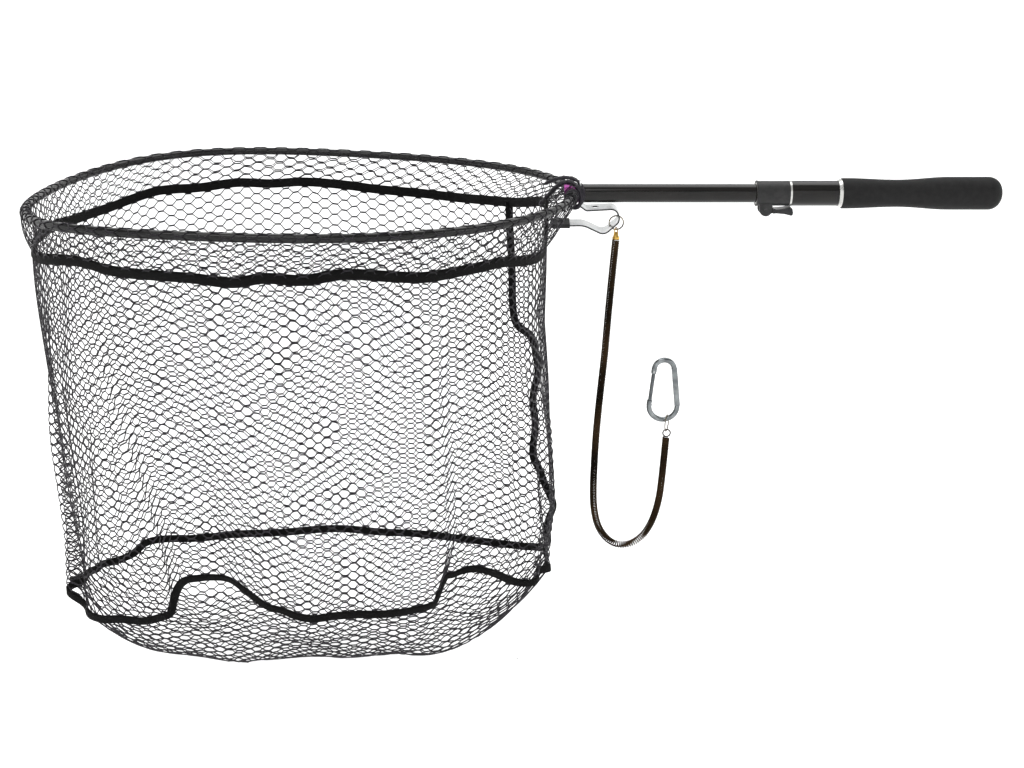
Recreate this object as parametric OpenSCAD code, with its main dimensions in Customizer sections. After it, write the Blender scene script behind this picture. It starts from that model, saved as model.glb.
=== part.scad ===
// Landing net: a round-cornered hoop with a deep netting bag, a two-section
// telescopic handle with a flip lock, a belt clip and a coiled lanyard.
// +X runs along the handle from the net to the butt, +Z is up.
// The origin is on the handle's axis, at the middle of the grip's round bulge.

/* [Hoop] */
// Length of the hoop, from the hub to its front
hoop_len = 527; // [480:1:560]
// Overall width of the hoop, centre line to centre line
hoop_width = 472; // [440:1:500]
// How far the hoop's sides arch up, at their highest
hoop_rise = 7.2; // [0:0.2:10]
// Outer diameter of the hoop's tube
hoop_d = 8; // [7.6:0.1:8]
// Wall of the hoop's tube
hoop_wall = 1; // [0.8:0.1:1.5]

/* [Bag] */
// Depth of the upper tape below the hoop
collar_depth = 40; // [36:1:46]
// Depth of the base tape below the hoop
bag_depth = 410; // [395:1:420]
// How far the base panel sags below its tape
base_sag = 76; // [60:1:90]
// Width of the bag at its base
base_width = 212; // [180:2:240]
// Thickness of the netting, knots included
net_t = 1.2; // [1:0.1:2]
// Width of the binding tapes
tape_w = 10; // [8:0.5:12]

/* [Handle] */
// Outer diameter of the inner tube
inner_d = 18.4; // [18:0.1:18.4]
// Outer diameter of the outer tube
outer_d = 25; // [25:0.1:25.2]
// Wall of the inner tube
inner_wall = 1.2; // [1:0.1:1.4]
// Wall of the outer tube
outer_wall = 1.3; // [1.2:0.05:1.3]
// Length of the foam grip
grip_len = 160; // [150:1:165]
// Largest diameter of the grip, at its bulge
grip_d = 32.6; // [31:0.2:34]
// Diameter of the grip's waist
waist_d = 27; // [26.6:0.2:29]

/* [Belt clip] */
// Width of the clip's steel strip
clip_w = 20; // [18:0.5:20]
// Thickness of the clip's steel strip
clip_t = 1.5; // [1.2:0.1:1.5]
// Turn of the clip about the handle's axis
clip_roll = 6; // [0:1:6]

/* [Lanyard] */
// Outer diameter of the coiled lanyard
coil_d = 7; // [6:0.5:7]
// Distance between the centres of the carabiner's end arcs
carabiner_span = 40; // [38:0.5:42]
// Thickness of the carabiner's bar
carabiner_bar = 5.6; // [5:0.2:5.6]

/* [Hidden] */
$fn = 64;

// Clearances: a running fit, a fixed seat, and the gap between loose pieces
run_gap = 0.05;
seat_gap = 0.02;
free_gap = 0.3;

// Stations along the handle
grip_x1 = 32;
grip_x0 = grip_x1 - grip_len;
bulge_half = 19;
trim_grip_w = 3.2;
trim_grip_x0 = grip_x0 - trim_grip_w;
outer_x0 = -178;
outer_x1 = 22;
trim_front_w = 1.8;
collar_x1 = outer_x0 - trim_front_w;
collar_x0 = -212.7;
spigot_x1 = -159.5;
stop_x0 = spigot_x1 + 0.6;
stop_w = 3.6;
glide_x0 = stop_x0 + stop_w + free_gap;
glide_w = 11.4;
rear_flange_x0 = glide_x0 + glide_w + free_gap;
rear_flange_w = 2.5;
inner_x0 = -384.8;
inner_x1 = rear_flange_x0;
plug_flange_w = 2.4;
clip_x = inner_x0 - plug_flange_w - clip_t / 2;
hub_x1 = clip_x - clip_t / 2;
hub_x0 = -404;
hoop_x0 = -396;

inner_r = inner_d / 2;
inner_bore_r = inner_r - inner_wall;
outer_r = outer_d / 2;
outer_bore_r = outer_r - outer_wall;
collar_r = 12.3;
stud_r = 4;
hoop_r = hoop_d / 2;

// ---------------------------------------------------------------- shared shapes

// A cylinder along +X from x0 to x1
module rod_x(x0, x1, r) {
    translate([x0, 0, 0]) rotate([0, 90, 0]) cylinder(h = x1 - x0, r = r);
}

// A tube along +X
module pipe_x(x0, x1, r_out, r_in) {
    difference() {
        rod_x(x0, x1, r_out);
        rod_x(x0 - 1, x1 + 1, r_in);
    }
}

// A cylinder along Y, centred on the XZ plane
module rod_y(length, r) {
    rotate([90, 0, 0]) cylinder(h = length, r = r, center = true);
}

// A round wire ring in the XZ plane
module wire_ring(r_ring, r_wire) {
    rotate([90, 0, 0]) rotate_extrude() translate([r_ring, 0]) circle(r = r_wire, $fn = 24);
}

// Closed polyhedron through rings of points: the last ring meets the first when
// closed is true, otherwise both ends are capped flat
module loft(rings, closed = false) {
    n = len(rings[0]);
    m = len(rings);
    points = [for (ring = rings) for (p = ring) p];
    last = closed ? m : m - 1;
    sides = [for (j = [0:last - 1], i = [0:n - 1], half = [0, 1])
        let (a = j * n + i, b = j * n + (i + 1) % n,
             c = ((j + 1) % m) * n + (i + 1) % n, d = ((j + 1) % m) * n + i)
        half == 0 ? [a, b, c] : [a, c, d]];
    caps = closed ? [] : [[for (i = [n - 1:-1:0]) i], [for (i = [0:n - 1]) (m - 1) * n + i]];
    polyhedron(points = points, faces = concat(sides, caps), convexity = 8);
}

// Centre line of a bent strip: straight legs between corners [x, z, radius],
// each corner rounded by an arc
function unit(v) = v / norm(v);
function arc_points(c0, c1, c2, n = 8) =
    let (p0 = [c0[0], c0[1]], p = [c1[0], c1[1]], p2 = [c2[0], c2[1]],
         u = unit(p0 - p), w = unit(p2 - p),
         half = acos(u * w) / 2,
         back = c1[2] / tan(half),
         mid = p + unit(u + w) * (c1[2] / sin(half)),
         s = p + u * back - mid, e = p + w * back - mid,
         a0 = atan2(s[1], s[0]), turn = atan2(s[0] * e[1] - s[1] * e[0], s * e))
    [for (k = [0:n]) mid + c1[2] * [cos(a0 + turn * k / n), sin(a0 + turn * k / n)]];
function rounded_path(c) = concat(
    [[c[0][0], c[0][1]]],
    [for (i = [1:len(c) - 2]) each arc_points(c[i - 1], c[i], c[i + 1])],
    [[c[len(c) - 1][0], c[len(c) - 1][1]]]);

// Direction of a path of points at point i
function heading(p, i) = unit(p[min(i + 1, len(p) - 1)] - p[max(i - 1, 0)]);
function left_of(v) = [-v[1], v[0]];

// Outline of a strip of thickness t along a flat path
function strip_outline(p, t) = concat(
    [for (i = [0:len(p) - 1]) p[i] + left_of(heading(p, i)) * t / 2],
    [for (i = [len(p) - 1:-1:0]) p[i] - left_of(heading(p, i)) * t / 2]);

// ---------------------------------------------------------------- hoop and hub

// The hoop's centre line from the hub (0 degrees) round the -Y side to its front
// (180) and back along the +Y side (360): a half cosine along X, and along Y a
// sine whose height varies slowly, so that the sides stay full. Its sides arch up
// a little, three quarters of the way to the front.
side_full = 257;
side_taper = -39;
side_shoulder = 22;
side_corner = -6;
side_mid = side_full - side_shoulder;
function side_shape(a) = sin(a) * (side_full + side_taper * cos(a)
    + side_shoulder * cos(2 * a) + side_corner * cos(3 * a)) / side_mid;
function arch(a) = let (u = (1 - cos(a)) / 2) hoop_rise * pow(u / 0.75, 3) * (1 - u) / 0.25;
function hoop_point(a) =
    let (half = a <= 180 ? a : 360 - a, side = a <= 180 ? -1 : 1)
    [hoop_x0 - hoop_len * (1 - cos(half)) / 2, side * side_shape(half) * hoop_width / 2, arch(half)];

// The hoop's ends are straight spigots that meet the formula at spigot_angle
spigot_angle = 8.6;
spigot_y = 7;
sleeve_len = 23;
spigot_join = hoop_point(spigot_angle);
sleeve_tilt = atan2(hoop_x0 - spigot_join[0], -spigot_join[1] - spigot_y);
hoop_steps = 84;
hoop_path = concat(
    [[hoop_x0, -spigot_y, 0]],
    [for (i = [0:hoop_steps]) hoop_point(spigot_angle + (360 - 2 * spigot_angle) * i / hoop_steps)],
    [[hoop_x0, spigot_y, 0]]);

// A ring of points round the hoop's centre line at path point i
function tube_ring(p, i, r, n) =
    let (d = unit(p[min(i + 1, len(p) - 1)] - p[max(i - 1, 0)]), s = [-d[1], d[0], 0])
    [for (k = [0:n - 1]) p[i] + r * (cos(360 * k / n) * s + sin(360 * k / n) * [0, 0, 1])];

module hoop_tube() {
    sides = 10;
    m = len(hoop_path);
    outer = [for (i = [0:m - 1]) tube_ring(hoop_path, i, hoop_r, sides)];
    inner = [for (i = [m - 1:-1:0]) tube_ring(hoop_path, i, hoop_r - hoop_wall, sides)];
    color([0.07, 0.07, 0.08]) loft(concat(outer, inner), closed = true);
}

// Places children at one of the hub's sleeves, with +Z along the hoop's spigot
module at_sleeve(side) {
    translate([hoop_x0, side * spigot_y, 0]) rotate([-side * 90, 0, 0])
        rotate([0, -sleeve_tilt, 0]) children();
}

hub_r = 9.2;
sleeve_r = 6.2;
screw_r = 2;
screw_at = 16;
module hub() {
    color([0.45, 0.10, 0.38]) difference() {
        union() {
            rod_x(hub_x0, hub_x1, hub_r);
            for (side = [-1, 1]) at_sleeve(side)
                translate([0, 0, -spigot_y]) cylinder(h = spigot_y + sleeve_len, r = sleeve_r);
        }
        rod_x(hub_x0 - 1, hub_x1 + 1, stud_r + run_gap);
        for (side = [-1, 1]) {
            at_sleeve(side) translate([0, 0, -0.3]) cylinder(h = sleeve_len + 1, r = hoop_r + run_gap);
            at_sleeve(side) translate([0, 0, screw_at]) rotate([side * 90, 0, 0])
                cylinder(h = sleeve_r + 1, r = screw_r + seat_gap);
        }
    }
}

module hub_screws() {
    color([0.12, 0.12, 0.13]) for (side = [-1, 1])
        at_sleeve(side) translate([0, 0, screw_at]) rotate([side * 90, 0, 0]) difference() {
            translate([0, 0, hoop_r + seat_gap]) cylinder(h = sleeve_r - hoop_r, r = screw_r);
            translate([0, 0, sleeve_r - 1]) cylinder(h = 2, r = 1, $fn = 6);
        }
}

module hub_stud() {
    color([0.7, 0.7, 0.72]) rod_x(hub_x0 + 1, inner_x0 + 15, stud_r);
}

// ---------------------------------------------------------------- belt clip

// Corners of the clip's strip, [x, z, bend radius]
clip_corners = [
    [clip_x, 13.5, 0], [clip_x, -10.9, 3], [-381.8, -15.2, 3], [-352, -13.6, 7],
    [-347.6, -26, 8], [-363.5, -40.5, 8], [-384, -30.6, 20], [-416, -31, 0]];
clip_path = rounded_path(clip_corners);
ring_hole_r = 1.9;
ring_center = [-351, -30.5];
ring_r = 7.2;
// Where the split ring goes through the strip, as angles about the ring's centre
ring_hole_angles = [78, 214];

module in_clip_frame() {
    rotate([clip_roll, 0, 0]) children();
}

module clip_prism(t, w) {
    rotate([90, 0, 0]) linear_extrude(height = w, center = true)
        polygon(strip_outline(clip_path, t));
}

module belt_clip() {
    color([0.72, 0.73, 0.74]) in_clip_frame() difference() {
        clip_prism(clip_t, clip_w);
        // rounded top of the plate
        difference() {
            translate([clip_x - 5, -clip_w, 3.5]) cube([10, 2 * clip_w, 20]);
            translate([0, 0, 3.5]) rod_x(clip_x - 6, clip_x + 6, clip_w / 2);
        }
        rod_x(clip_x - 5, clip_x + 5, stud_r + 0.15);
        // hole in the upper arm
        translate([-372.5, 0, -15]) cylinder(h = 8, r = 3.5, center = true);
        for (a = ring_hole_angles)
            translate([ring_center[0] + ring_r * cos(a), 0, ring_center[1] + ring_r * sin(a)])
                rotate([0, -a, 0]) cylinder(h = 5, r = ring_hole_r, center = true);
    }
}

sleeve_x0 = -417.2;
sleeve_x1 = -398;
module clip_sleeve() {
    color([0.05, 0.05, 0.05]) in_clip_frame() difference() {
        translate([sleeve_x0, -clip_w / 2 - 0.9, -33]) cube([sleeve_x1 - sleeve_x0, clip_w + 1.8, 4]);
        clip_prism(clip_t + 0.04, clip_w + 0.04);
        // long window in the top face
        translate([-408.5, -4, -30]) cube([6, 8, 2]);
    }
}

// ---------------------------------------------------------------- netting

// Outline of the bag at depth z below the hoop. Its length, width and squareness
// follow these levels: [z, front x, hub-end x, width, squareness]
top_gap = 4.7;
levels = [
    [-top_gap, -922, -405.5, hoop_width - 2, 0],
    [-25, -923, -421, hoop_width - 14, 0.05],
    [-collar_depth, -924, -423, hoop_width - 26, 0.1],
    [-150, -927, -424, hoop_width - 92, 0.35],
    [-270, -928, -416, base_width + 84, 0.65],
    [-bag_depth, -925, -408, base_width, 1]];

function level_at(z, k = 0) = k >= len(levels) - 2 || z >= levels[k + 1][0]
    ? let (f = (levels[k][0] - z) / (levels[k][0] - levels[k + 1][0]))
        levels[k] + (levels[k + 1] - levels[k]) * f
    : level_at(z, k + 1);

function soft_power(v, e) = sign(v) * pow(abs(v), e);
// One point of the outline: l is a level, grow moves it outwards
function bag_point(l, a, grow) =
    let (half = a <= 180 ? a : 360 - a, side = a <= 180 ? -1 : 1,
         x0 = l[2] + grow, x1 = l[1] - grow,
         ux = (1 - cos(half)) / 2, uq = (1 - soft_power(cos(half), 0.55)) / 2,
         vy = side_shape(half), vq = soft_power(sin(half), 0.55))
    [x0 + (x1 - x0) * (ux + (uq - ux) * l[4]),
     side * (l[3] / 2 + grow) * (vy + (vq - vy) * l[4]),
     l[0] + arch(half) * (1 + l[0] / bag_depth)];

ring_steps = 48;
function bag_ring(z, grow) =
    let (l = level_at(z))
    [for (i = [0:ring_steps - 1]) bag_point(l, 360 * i / ring_steps, grow)];

// A band of the bag's wall between two depths, from grow0 to grow1 outwards
module bag_band(depths, grow0, grow1) {
    outer = [for (z = depths) bag_ring(z, grow1)];
    inner = [for (i = [len(depths) - 1:-1:0]) bag_ring(depths[i], grow0)];
    loft(concat(outer, inner), closed = true);
}

module net_collar() {
    color([0.16, 0.15, 0.18])
        bag_band([-top_gap, -15, -25, -collar_depth], -net_t / 2, net_t / 2);
}

module net_wall() {
    color([0.16, 0.15, 0.18])
        bag_band([-collar_depth, -90, -150, -210, -270, -340, -bag_depth], -net_t / 2, net_t / 2);
}

// The base panel: rings that shrink to the middle while they sag
base_mid = [(levels[5][1] + levels[5][2]) / 2, 0];
dish_steps = [1, 0.86, 0.66, 0.42, 0.16];
function dish_ring(s, grow) =
    [for (p = bag_ring(-bag_depth, grow))
        [base_mid[0] + (p[0] - base_mid[0]) * s, p[1] * s,
         -bag_depth - base_sag * (1 - pow(s, 2.4)) - (s < 1 ? grow : 0)]];
module net_base() {
    outer = [for (i = [len(dish_steps) - 1:-1:0]) dish_ring(dish_steps[i], net_t / 2)];
    inner = [for (s = dish_steps) dish_ring(s, -net_t / 2)];
    color([0.16, 0.15, 0.18]) loft(concat(outer, inner));
}

tape_t = 1.4;
tape_gap = net_t / 2 + 0.15;
module top_tape() {
    color([0.05, 0.05, 0.06])
        bag_band([-collar_depth + tape_w / 2, -collar_depth, -collar_depth - tape_w / 2],
                 tape_gap, tape_gap + tape_t);
}

module base_tape() {
    lift = 0.5;
    color([0.05, 0.05, 0.06])
        bag_band([-bag_depth + lift + tape_w, -bag_depth + lift], tape_gap, tape_gap + tape_t);
}

// The vertical seam's tape, a strip of the wall at the back near the hub
seam_a0 = 309;
seam_a1 = 311.4;
module seam_tape() {
    z0 = -collar_depth - tape_w / 2 - free_gap;
    z1 = -bag_depth + tape_w + 1;
    n = 8;
    function strip_point(z, a, grow) = bag_point(level_at(z), a, grow);
    rings = [for (i = [0:n]) let (z = z0 + (z1 - z0) * i / n)
        [strip_point(z, seam_a0, tape_gap), strip_point(z, seam_a1, tape_gap),
         strip_point(z, seam_a1, tape_gap + tape_t), strip_point(z, seam_a0, tape_gap + tape_t)]];
    color([0.05, 0.05, 0.06]) loft(rings);
}

// ---------------------------------------------------------------- head's tube

module inner_tube() {
    color([0.06, 0.06, 0.07]) pipe_x(inner_x0, inner_x1, inner_r, inner_bore_r);
}

module front_plug() {
    color([0.05, 0.05, 0.05]) difference() {
        union() {
            rod_x(inner_x0 - plug_flange_w, inner_x0, inner_r);
            rod_x(inner_x0 - 0.1, inner_x0 + 18, inner_bore_r - seat_gap);
        }
        rod_x(inner_x0 - 5, inner_x0 + 20, stud_r + run_gap);
    }
}

module rear_plug() {
    color([0.1, 0.1, 0.1]) {
        rod_x(rear_flange_x0, rear_flange_x0 + rear_flange_w, 10.5);
        rod_x(rear_flange_x0 - 16, rear_flange_x0 + 0.1, inner_bore_r - seat_gap);
    }
}

module stop_ring() {
    color([0.6, 0.6, 0.62]) pipe_x(stop_x0, stop_x0 + stop_w, outer_bore_r - free_gap, inner_r + seat_gap);
}

module glide_ring() {
    color([0.85, 0.85, 0.82])
        pipe_x(glide_x0, glide_x0 + glide_w, outer_bore_r - run_gap, inner_r + run_gap);
}

// ---------------------------------------------------------------- grip section

module outer_tube() {
    color([0.06, 0.06, 0.07]) pipe_x(outer_x0, outer_x1, outer_r, outer_bore_r);
}

// The flip lock's pivot, below the collar
pivot_x = -202.8;
pivot_z = -15.7;
pin_r = 1.5;
ear_r = 6.2;
ear_y = 7.6;
slot_y = 4.4;
slot_x0 = pivot_x - 6.4;
slot_x1 = pivot_x + 6.6;
bush_x1 = collar_x0 + 3;
bush_r = 10.6;
module lock_collar() {
    color([0.08, 0.08, 0.08]) difference() {
        union() {
            rod_x(collar_x0, collar_x1, collar_r);
            rod_x(collar_x0, collar_x0 + 1.2, collar_r + 0.5);
            rod_x(collar_x1 - 0.1, spigot_x1, outer_bore_r - seat_gap);
            translate([pivot_x, 0, pivot_z]) rod_y(2 * ear_y, ear_r);
            translate([pivot_x - ear_r, -ear_y, pivot_z]) cube([2 * ear_r, 2 * ear_y, 8]);
        }
        rod_x(collar_x0 - 1, spigot_x1 + 1, inner_r + run_gap);
        rod_x(collar_x0 - 1, bush_x1, bush_r + seat_gap);
        // slot for pad, cam and lever
        translate([slot_x0, -slot_y, -30]) cube([slot_x1 - slot_x0, 2 * slot_y, 28]);
        translate([pivot_x, 0, pivot_z]) rod_y(2 * ear_y + 2, pin_r + seat_gap);
    }
}

module guide_bush() {
    color([0.8, 0.8, 0.78]) pipe_x(collar_x0 + 0.2, bush_x1 - 0.1, bush_r, inner_r + run_gap);
}

module trim_ring_front() {
    color([0.85, 0.85, 0.83]) pipe_x(collar_x1 + 0.02, outer_x0 - 0.02, outer_r + 0.1, outer_bore_r);
}

module trim_ring_grip() {
    color([0.85, 0.85, 0.83]) rotate([0, 90, 0]) rotate_extrude() polygon([
        [outer_r + run_gap, trim_grip_x0], [outer_r + 0.5, trim_grip_x0],
        [14.2, grip_x0 - 1.2], [14.2, grip_x0 - 0.05], [outer_r + run_gap, grip_x0 - 0.05]]);
}

// The grip's side: a rounded front edge, a waist, a straight bulge and a round butt
grip_front_r = 15.1;
grip_r = grip_d / 2;
butt_round = 13;
function ease(f) = (1 - cos(180 * f)) / 2;
grip_side = concat(
    [for (a = [0:15:90]) [grip_front_r - 1.2 + 1.2 * sin(a), grip_x0 + 1.2 - 1.2 * cos(a)]],
    [for (f = [0.1:0.1:1]) [grip_front_r + (waist_d / 2 - grip_front_r) * ease(f),
                            grip_x0 + 4 + 52 * f]],
    [for (f = [0.1:0.1:1]) [waist_d / 2 + (grip_r - waist_d / 2) * ease(f),
                            grip_x0 + 56 + (-bulge_half - grip_x0 - 56) * f]],
    [for (a = [0:10:90]) [grip_r - butt_round + butt_round * cos(a),
                          grip_x1 - butt_round + butt_round * sin(a)]]);
module grip() {
    color([0.14, 0.14, 0.15]) difference() {
        rotate([0, 90, 0]) rotate_extrude()
            polygon(concat([[0, grip_x0]], grip_side, [[0, grip_x1]]));
        rod_x(grip_x0 - 1, outer_x1 + 0.1, outer_r + seat_gap);
    }
}

module butt_plug() {
    color([0.1, 0.1, 0.1]) rod_x(0, outer_x1 - 0.5, outer_bore_r - seat_gap);
}

module lever_pin() {
    color([0.5, 0.5, 0.5]) translate([pivot_x, 0, pivot_z]) rod_y(2 * ear_y + 0.6, pin_r);
}

cam_r = 3.2;
cam_lift = 0.5;
lever_y = 6.6;
// Side view of the lever's arm, from its root out to the tip
lever_arm = [
    [pivot_x, pivot_z + 2.6], [-197, -13.6], [-192, -15.2], [-184, -14.4], [-178, -12.95],
    [-176.4, -14.4], [-175.3, -18.6], [-176, -21], [-177.4, -21.5], [-183, -20],
    [-192, -19.1], [pivot_x + 3, pivot_z - 4.2], [pivot_x, pivot_z - 3]];
module lock_lever() {
    color([0.07, 0.07, 0.07]) difference() {
        union() {
            translate([pivot_x, 0, pivot_z + cam_lift]) rod_y(2 * (slot_y - free_gap), cam_r);
            rotate([90, 0, 0]) linear_extrude(height = 2 * (slot_y - free_gap), center = true)
                polygon(lever_arm);
            intersection() {
                rotate([90, 0, 0]) linear_extrude(height = 2 * lever_y, center = true)
                    polygon(lever_arm);
                translate([slot_x1 + 1, -lever_y, -30]) cube([40, 2 * lever_y, 30]);
            }
        }
        translate([pivot_x, 0, pivot_z]) rod_y(30, pin_r + run_gap);
    }
}

pad_gap = 0.15;
pad_z = pivot_z + cam_r + cam_lift + pad_gap;
module brake_pad() {
    color([0.2, 0.2, 0.2]) difference() {
        translate([slot_x0 + 0.6, -slot_y + free_gap, pad_z])
            cube([slot_x1 - slot_x0 - 1.2, 2 * (slot_y - free_gap), 3.6]);
        rod_x(slot_x0 - 5, slot_x1 + 5, inner_r + pad_gap);
    }
}

// ---------------------------------------------------------------- lanyard

module split_ring() {
    color([0.7, 0.68, 0.62]) in_clip_frame()
        translate([ring_center[0], 0, ring_center[1]]) rotate([90, 0, 0]) rotate_extrude()
            for (side = [-1, 1]) translate([ring_r, side * 0.5]) circle(r = 0.6, $fn = 24);
}

// The brass loop hangs on the ring's lowest point, turned 40 degrees to it
loop_turn = 50;
loop_top_r = 3.1;
ring_low = ring_center[1] - ring_r;
loop_wire = 0.5;
cap_top = -44.6;
cap_h = 2.9;
lanyard_y = -ring_low * sin(clip_roll);
loop_mid = ring_low - 0.5;
module upper_loop() {
    color([0.75, 0.6, 0.25]) translate([ring_center[0], lanyard_y, 0]) rotate([0, 0, loop_turn]) {
        translate([0, 0, loop_mid]) rotate([90, 0, 0])
            rotate_extrude(angle = 180) translate([loop_top_r, 0]) circle(r = loop_wire, $fn = 24);
        for (side = [-1, 1])
            translate([side * loop_top_r, 0, cap_top - 0.2])
                cylinder(h = loop_mid - cap_top + 0.4, r = loop_wire + 0.05);
        translate([0, 0, cap_top - cap_h]) cylinder(h = cap_h, r = coil_d / 2 + 0.2);
    }
}

// The route of the hanging lanyard, [x, z], from its brass cap to its lower end
lanyard_route = [
    [-351, -48], [-354, -85], [-357, -125], [-360, -170], [-364, -215], [-367, -255],
    [-368.5, -290], [-369, -322], [-367.5, -344], [-363, -362], [-355, -375], [-345, -382.5],
    [-335, -384], [-324.5, -381], [-314, -372], [-306.5, -359], [-301.5, -344], [-298, -326],
    [-296, -304], [-294.6, -283], [-293.2, -260.4]];

// Smooth curve through the route's points
function spline(p, i, t) =
    let (a = p[max(i - 1, 0)], b = p[i], c = p[i + 1], d = p[min(i + 2, len(p) - 1)])
    0.5 * (2 * b + (c - a) * t + (2 * a - 5 * b + 4 * c - d) * t * t
           + (3 * b - a - 3 * c + d) * t * t * t);
lanyard_line = concat(
    [for (i = [0:len(lanyard_route) - 2], t = [0, 1 / 3, 2 / 3]) spline(lanyard_route, i, t)],
    [lanyard_route[len(lanyard_route) - 1]]);

module lanyard_coil() {
    sides = 8;
    rings = [for (i = [0:len(lanyard_line) - 1])
        let (c = lanyard_line[i], s = left_of(heading(lanyard_line, i)))
        [for (k = [0:sides - 1])
            [c[0] + coil_d / 2 * cos(360 * k / sides) * s[0],
             lanyard_y + coil_d / 2 * sin(360 * k / sides),
             c[1] + coil_d / 2 * cos(360 * k / sides) * s[1]]]];
    color([0.2, 0.13, 0.1]) loft(rings);
}

lower_loop_r = 3.9;
lower_loop_x = -292.8;
lower_loop_z = -255.6;
module lower_loop() {
    color([0.5, 0.3, 0.2]) translate([lower_loop_x, lanyard_y, lower_loop_z])
        wire_ring(lower_loop_r, 0.55);
}

// ---------------------------------------------------------------- carabiner

top_arc_r = 10.4;
low_arc_r = 14.7;
bar_r = carabiner_bar / 2;
carabiner_x = -297.5;
link_r = 8.7;
link_wire = 0.6;
link_z = lower_loop_z + lower_loop_r - 0.55 - 0.3 + link_r - link_wire;
link_x = lower_loop_x - 0.2;
// Height of the lower arc's centre over its bar where the link ring hangs
ring_seat = sqrt(pow(low_arc_r, 2) - pow(link_x - carabiner_x, 2));
carabiner_z = link_z + link_r - link_wire - free_gap - bar_r * low_arc_r / ring_seat + ring_seat;
side_tilt = asin((low_arc_r - top_arc_r) / carabiner_span);
side_len = carabiner_span * cos(side_tilt);

module at_carabiner() {
    translate([carabiner_x, lanyard_y, carabiner_z]) children();
}

// Down the carabiner's left side: +Z up the gate, 0 at the top arc's end
module at_gate_side() {
    at_carabiner()
        translate([-top_arc_r * cos(side_tilt), 0, carabiner_span + top_arc_r * sin(side_tilt)])
            rotate([0, side_tilt, 0]) children();
}

module link_ring() {
    color([0.75, 0.74, 0.72]) translate([link_x, lanyard_y, link_z]) rotate([0, 0, 72])
        wire_ring(link_r, link_wire);
}

hinge_z = -3;
hinge_h = 5.2;
flat_w = 5.9;
flat_t = 4.6;
joint_lap = 0.6;
joint_step = 0.15;
hinge_pin_r = 0.8;
tongue_y = 1.1;
nose_h = 5;
module carabiner_body() {
    color([0.78, 0.79, 0.8]) difference() {
        union() {
            at_carabiner() {
                translate([0, 0, carabiner_span]) rotate([90, 0, 0])
                    rotate([0, 0, side_tilt]) rotate_extrude(angle = 180 - 2 * side_tilt)
                        translate([top_arc_r, 0]) circle(r = bar_r, $fn = 32);
                rotate([90, 0, 0]) rotate([0, 0, 180 - side_tilt])
                    rotate_extrude(angle = 180 + 2 * side_tilt)
                        translate([low_arc_r, 0]) circle(r = bar_r, $fn = 32);
                // flattened right side
                translate([low_arc_r * cos(side_tilt), 0, low_arc_r * sin(side_tilt)])
                    rotate([0, -side_tilt, 0]) translate([-flat_w / 2, -flat_t / 2, -joint_lap])
                        cube([flat_w, flat_t, side_len + 2 * joint_lap]);
            }
            at_gate_side() {
                translate([0, 0, -hinge_h]) cylinder(h = hinge_h + joint_lap, r = bar_r + joint_step);
                translate([0, 0, -side_len - joint_lap])
                    cylinder(h = nose_h + joint_lap, r = bar_r + joint_step);
            }
        }
        at_gate_side() {
            // slot for the gate's tongue, and the hinge pin's hole
            translate([-5, -tongue_y - 0.25, -6]) cube([10, 2 * tongue_y + 0.5, 5.2]);
            translate([0, 0, hinge_z]) rod_y(12, hinge_pin_r + seat_gap);
            // notch for the gate's T-shaped tip, open to the inside
            translate([-1.6, -1.3, -side_len + 1.1]) cube([8, 2.6, 5]);
            translate([-1.6, -2.3, -side_len + 1.1]) cube([8, 4.6, 1.9]);
        }
    }
}

module gate_pin() {
    color([0.7, 0.7, 0.72]) at_gate_side() translate([0, 0, hinge_z])
        rod_y(carabiner_bar - 1.1, hinge_pin_r);
}

gate_r = 2;
gate_z1 = -6.2;
gate_z0 = -side_len + nose_h + 0.3;
spring_r = 0.5;
module carabiner_gate() {
    color([0.75, 0.76, 0.77]) at_gate_side() difference() {
        union() {
            translate([0, 0, gate_z0]) cylinder(h = gate_z1 - gate_z0, r = gate_r);
            translate([-1.4, -tongue_y, gate_z1 - 0.1]) cube([2.8, 2 * tongue_y, hinge_z - gate_z1 + 0.1]);
            translate([0, 0, hinge_z]) rod_y(2 * tongue_y, 1.4);
            translate([-1, -0.9, -side_len + 1.9]) cube([2, 1.8, nose_h]);
            translate([-1, -1.9, -side_len + 1.5]) cube([2, 3.8, 1]);
        }
        translate([0, 0, hinge_z]) rod_y(12, hinge_pin_r + run_gap);
        translate([0, 0, gate_z1 - 14]) cylinder(h = 12, r = spring_r + 0.3);
    }
}

module gate_spring() {
    color([0.6, 0.6, 0.62]) at_gate_side() translate([0, 0, gate_z1 - 13.6])
        cylinder(h = 11, r = spring_r);
}

hoop_tube();
hub();
hub_screws();
hub_stud();
belt_clip();
clip_sleeve();
net_collar();
net_wall();
net_base();
top_tape();
base_tape();
seam_tape();
inner_tube();
front_plug();
rear_plug();
stop_ring();
glide_ring();
outer_tube();
lock_collar();
guide_bush();
trim_ring_front();
trim_ring_grip();
grip();
butt_plug();
lever_pin();
lock_lever();
brake_pad();
split_ring();
upper_loop();
lanyard_coil();
lower_loop();
link_ring();
carabiner_body();
gate_pin();
carabiner_gate();
gate_spring();
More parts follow.
